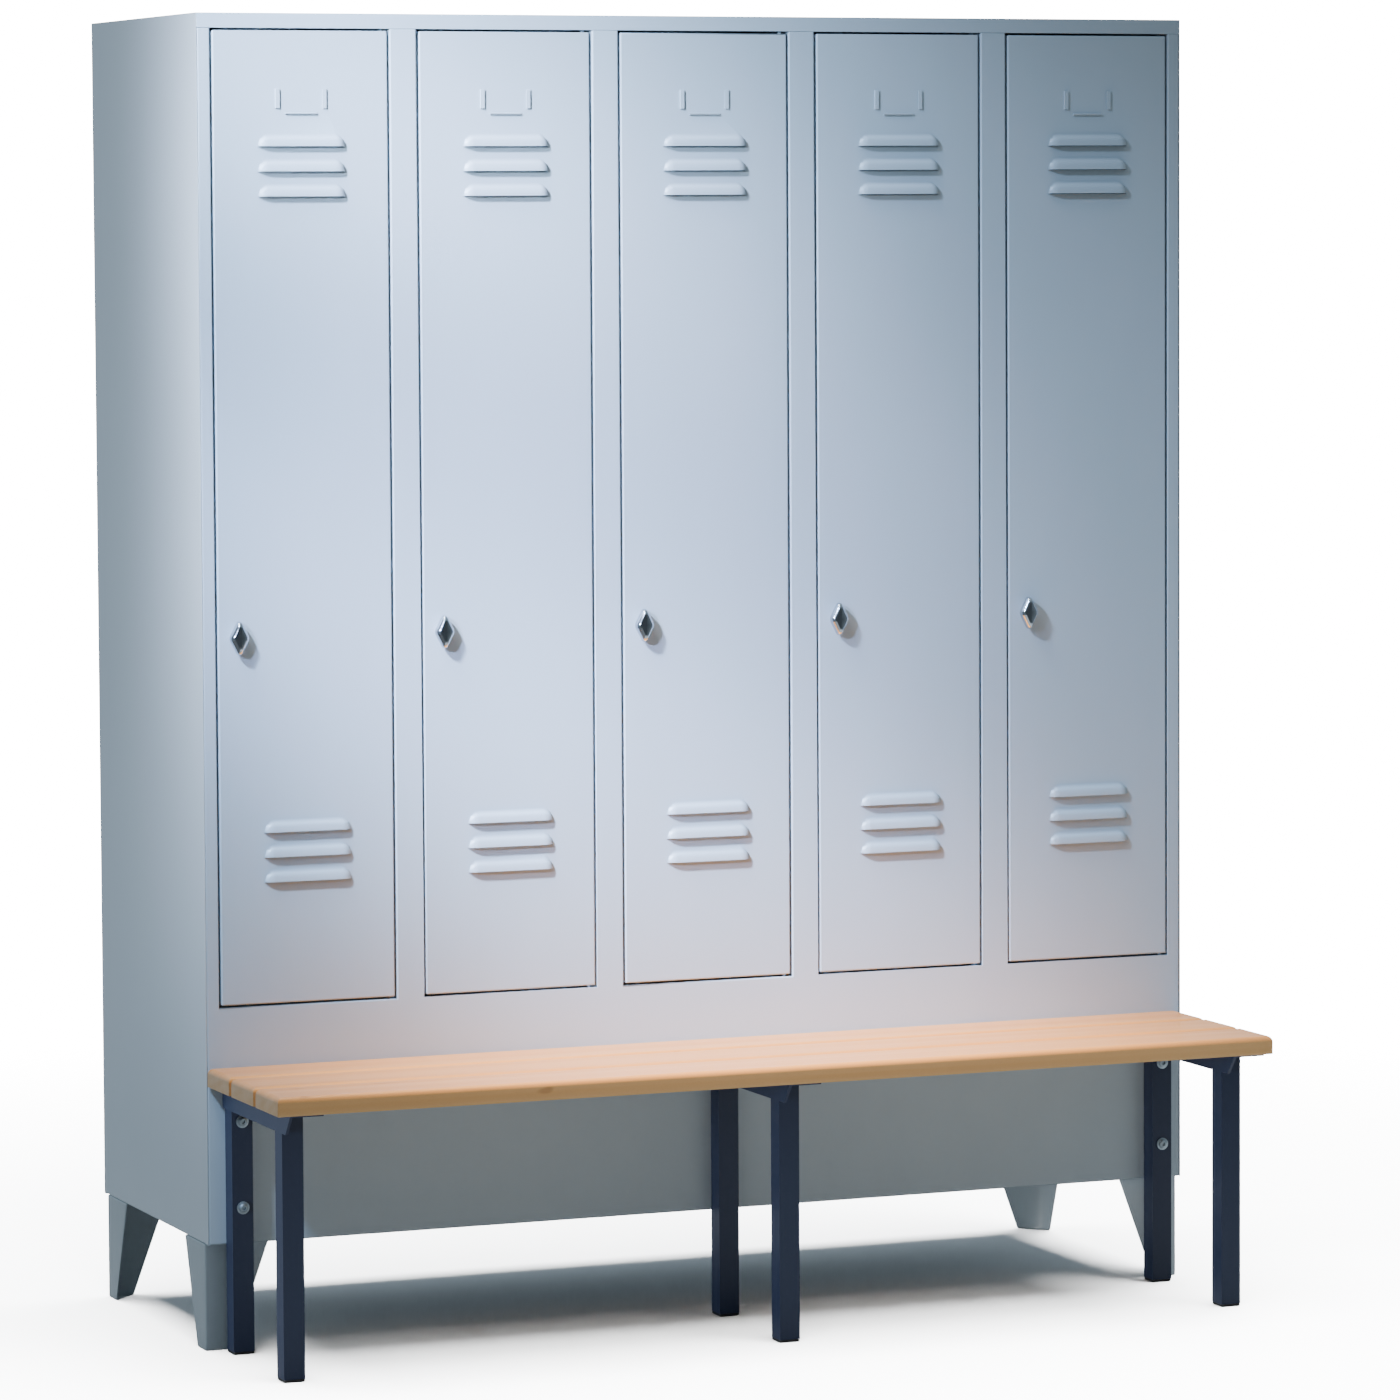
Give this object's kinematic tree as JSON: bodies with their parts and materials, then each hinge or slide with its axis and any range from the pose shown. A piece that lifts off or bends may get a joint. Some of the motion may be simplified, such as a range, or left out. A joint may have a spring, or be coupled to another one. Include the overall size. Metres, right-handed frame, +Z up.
{
  "type": "clothes locker with bench",
  "caption": "Row of steel clothes lockers on folded legs, with louvred doors, turn latches, hat shelves and coat rails inside, and a slatted beech bench in front.",
  "frame": {"origin": "on the floor under the middle of the whole piece, bench included", "axes": "+Z up, -Y towards a person in front of the doors, +X to that person's right"},
  "size_m": [1.5, 0.815, 1.85],
  "materials": {
    "grey_paint": "light grey powder coat, satin",
    "blue_paint": "very dark blue-grey powder coat, satin",
    "beech": "clear-lacquered beech",
    "chrome": "polished chrome plating",
    "zinc_plating": "bright zinc plating",
    "black_plastic": "black plastic, matt"
  },
  "bodies": {
    "cabinet": {"side_panel_left": "grey_paint", "side_panel_right": "grey_paint", "front_frame": "grey_paint", "top_panel": "grey_paint", "floor_panel": "grey_paint", "base_panel": "grey_paint", "back_panel": "grey_paint", "partition_1": "grey_paint", "partition_2": "grey_paint", "partition_3": "grey_paint", "partition_4": "grey_paint", "hat_shelf_1": "grey_paint", "hat_shelf_2": "grey_paint", "hat_shelf_3": "grey_paint", "hat_shelf_4": "grey_paint", "hat_shelf_5": "grey_paint", "coat_rail_1": "zinc_plating", "coat_rail_2": "zinc_plating", "coat_rail_3": "zinc_plating", "coat_rail_4": "zinc_plating", "coat_rail_5": "zinc_plating", "leg_front_left": "grey_paint", "leg_rear_left": "grey_paint", "leg_front_right": "grey_paint", "leg_rear_right": "grey_paint", "bench_slat_1": "beech", "bench_slat_2": "beech", "bench_slat_3": "beech", "bench_frame_left": "blue_paint", "bench_frame_middle": "blue_paint", "bench_frame_right": "blue_paint", "post_cap_left_rear": "black_plastic", "post_cap_left_front": "black_plastic", "post_cap_middle_rear": "black_plastic", "post_cap_middle_front": "black_plastic", "post_cap_right_rear": "black_plastic", "post_cap_right_front": "black_plastic", "bench_screw_left_lower": "zinc_plating", "bench_screw_left_upper": "zinc_plating", "bench_screw_right_lower": "zinc_plating", "bench_screw_right_upper": "zinc_plating"},
    "door_1": {"door_1": "grey_paint"},
    "latch_1": {"latch_handle_1": "chrome", "latch_bolt_1": "zinc_plating"},
    "door_2": {"door_2": "grey_paint"},
    "latch_2": {"latch_handle_2": "chrome", "latch_bolt_2": "zinc_plating"},
    "door_3": {"door_3": "grey_paint"},
    "latch_3": {"latch_handle_3": "chrome", "latch_bolt_3": "zinc_plating"},
    "door_4": {"door_4": "grey_paint"},
    "latch_4": {"latch_handle_4": "chrome", "latch_bolt_4": "zinc_plating"},
    "door_5": {"door_5": "grey_paint"},
    "latch_5": {"latch_handle_5": "chrome", "latch_bolt_5": "zinc_plating"}
  },
  "joints": [
    {"name": "door_1_hinge", "type": "hinge", "parent": "cabinet", "child": "door_1", "pos_m": [-0.4812, -0.0855, 0.4822], "axis": [0, 0, 1], "range_deg": [0, 110]},
    {"name": "door_2_hinge", "type": "hinge", "parent": "cabinet", "child": "door_2", "pos_m": [-0.1812, -0.0855, 0.4822], "axis": [0, 0, 1], "range_deg": [0, 110]},
    {"name": "door_3_hinge", "type": "hinge", "parent": "cabinet", "child": "door_3", "pos_m": [0.1188, -0.0855, 0.4822], "axis": [0, 0, 1], "range_deg": [0, 110]},
    {"name": "door_4_hinge", "type": "hinge", "parent": "cabinet", "child": "door_4", "pos_m": [0.4188, -0.0855, 0.4822], "axis": [0, 0, 1], "range_deg": [0, 110]},
    {"name": "door_5_hinge", "type": "hinge", "parent": "cabinet", "child": "door_5", "pos_m": [0.7188, -0.0855, 0.4822], "axis": [0, 0, 1], "range_deg": [0, 110]},
    {"name": "latch_1_turn", "type": "hinge", "parent": "door_1", "child": "latch_1", "pos_m": [-0.6988, -0.0925, 0.991], "axis": [0, 1, 0], "range_deg": [0, 90]},
    {"name": "latch_2_turn", "type": "hinge", "parent": "door_2", "child": "latch_2", "pos_m": [-0.3988, -0.0925, 0.991], "axis": [0, 1, 0], "range_deg": [0, 90]},
    {"name": "latch_3_turn", "type": "hinge", "parent": "door_3", "child": "latch_3", "pos_m": [-0.0988, -0.0925, 0.991], "axis": [0, 1, 0], "range_deg": [0, 90]},
    {"name": "latch_4_turn", "type": "hinge", "parent": "door_4", "child": "latch_4", "pos_m": [0.2012, -0.0925, 0.991], "axis": [0, 1, 0], "range_deg": [0, 90]},
    {"name": "latch_5_turn", "type": "hinge", "parent": "door_5", "child": "latch_5", "pos_m": [0.5012, -0.0925, 0.991], "axis": [0, 1, 0], "range_deg": [0, 90]}
  ]
}
